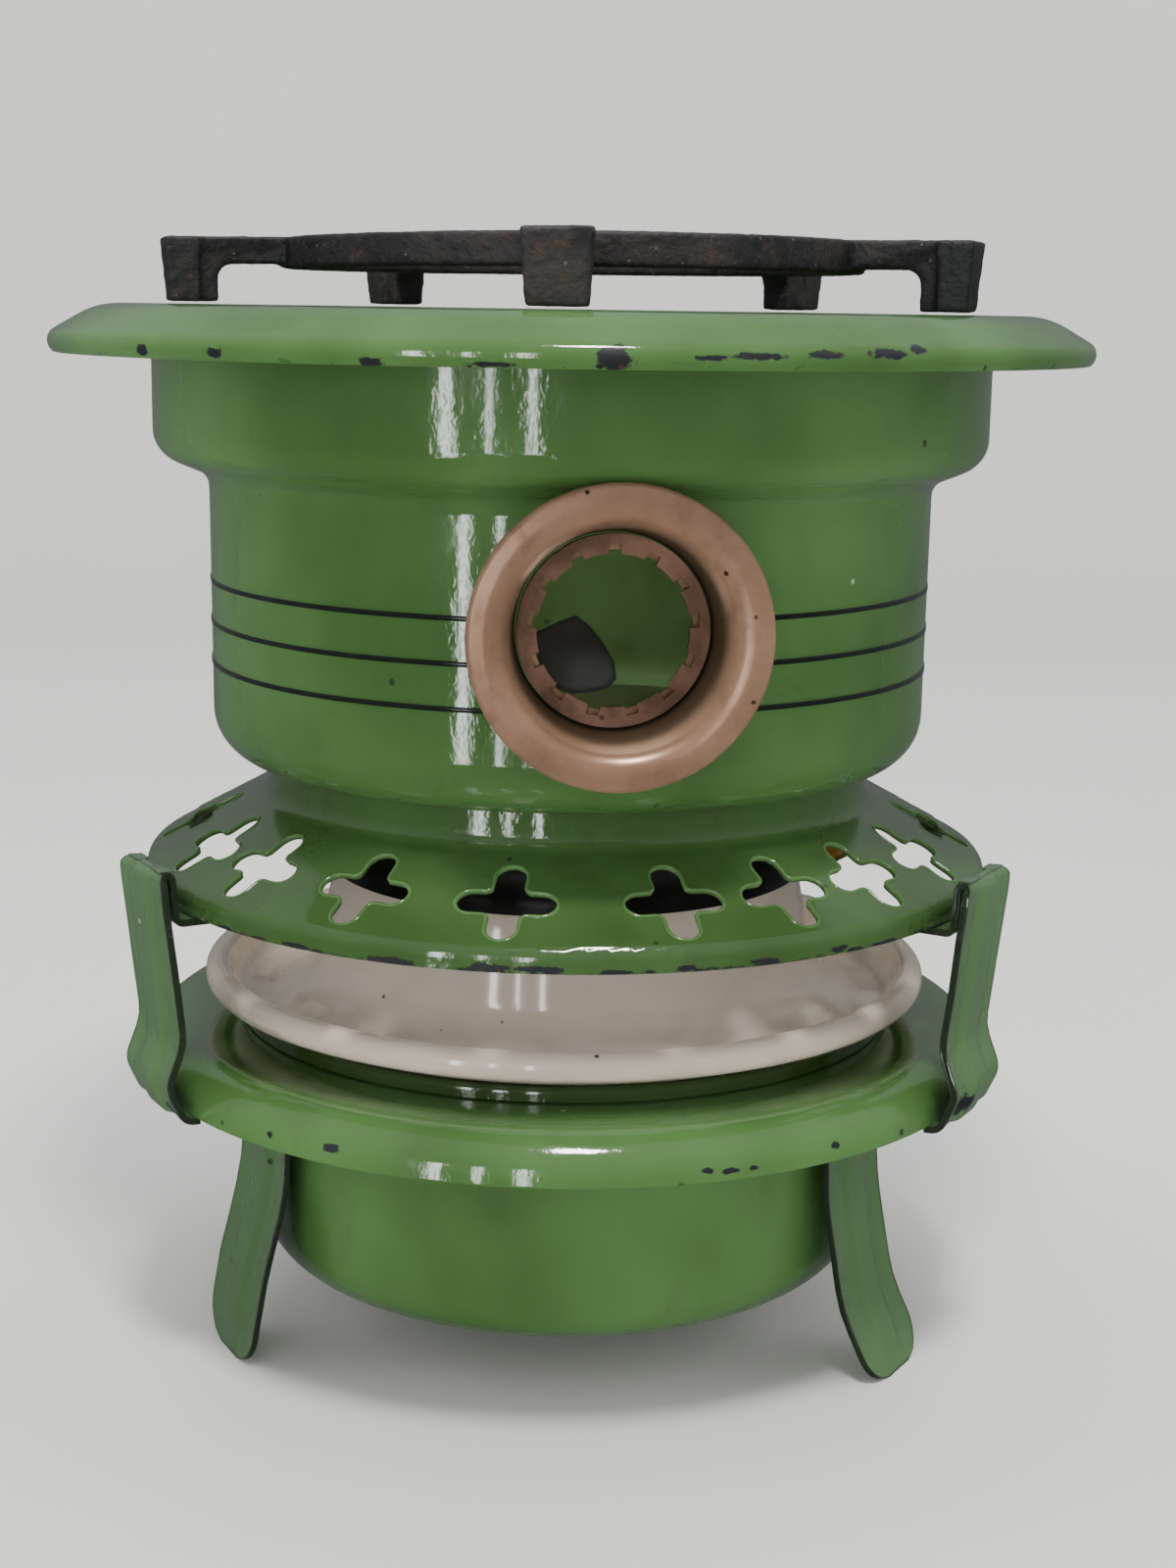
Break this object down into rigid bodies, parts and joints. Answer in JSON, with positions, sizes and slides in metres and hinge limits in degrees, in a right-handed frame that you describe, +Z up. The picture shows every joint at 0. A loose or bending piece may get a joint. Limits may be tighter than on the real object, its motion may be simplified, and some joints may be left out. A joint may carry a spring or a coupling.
{
  "type": "kerosene stove",
  "caption": "Small round enamelled kerosene stove: footed fuel bowl, burner deck, windowed mantle on posts, hob plate and cast trivet.",
  "frame": {"origin": "on the table, at the centre of the stove", "axes": "+Z up along the stove's axis, -Y to the front, where the sight window is"},
  "size_m": [0.1852, 0.1852, 0.199],
  "materials": {
    "green_enamel": "gloss vitreous enamel",
    "white_enamel": "gloss vitreous enamel",
    "steel": "dull",
    "brass": "aged",
    "copper": "aged copper",
    "wick_cotton": "woven",
    "mica": "clear mica",
    "cast_iron": "rough, rusty"
  },
  "bodies": {
    "base": {"tank_bowl": "green_enamel", "leg_left": "green_enamel", "leg_right": "green_enamel", "leg_back": "green_enamel", "post_left": "green_enamel", "post_right": "green_enamel", "post_back": "green_enamel"},
    "deck": {"burner_deck": "white_enamel", "locating_ring": "steel", "burner_collar": "steel", "burner_cup": "brass", "air_cage": "brass", "outer_wick_tube": "brass", "inner_wick_tube": "brass", "shaft_bushing": "brass"},
    "knob": {"wick_shaft": "steel", "wick_wheels": "brass", "wick_knob": "brass"},
    "wick": {"wick": "wick_cotton"},
    "spreader": {"flame_spreader": "brass"},
    "mantle": {"top_plate": "green_enamel", "mantle_shell": "green_enamel", "air_gallery": "green_enamel", "window_ring": "copper", "pane_retainer": "copper", "mica_pane": "mica", "pane_washer": "copper"},
    "trivet": {"trivet": "cast_iron"}
  },
  "joints": [
    {"name": "deck_lift", "type": "slide", "parent": "base", "child": "deck", "axis": [0, 0, 1], "range_m": [0, 0.08]},
    {"name": "mantle_lift", "type": "slide", "parent": "deck", "child": "mantle", "axis": [0, 0, 1], "range_m": [0, 0.08]},
    {"name": "trivet_lift", "type": "slide", "parent": "mantle", "child": "trivet", "axis": [0, 0, 1], "range_m": [0, 0.05]},
    {"name": "spreader_lift", "type": "slide", "parent": "deck", "child": "spreader", "axis": [0, 0, 1], "range_m": [0, 0.03]},
    {"name": "knob_turn", "type": "hinge", "parent": "deck", "child": "knob", "pos_m": [0.01412, -0.00815, 0.0786], "axis": [0.5, 0.866, 0], "range_deg": [0, 114]},
    {"name": "wick_raise", "type": "slide", "parent": "deck", "child": "wick", "axis": [0, 0, 1], "range_m": [0, 0.006]}
  ],
  "couplings": [
    {"joint": "wick_raise", "follows": "knob_turn", "m_per_rad": 0.003}
  ]
}
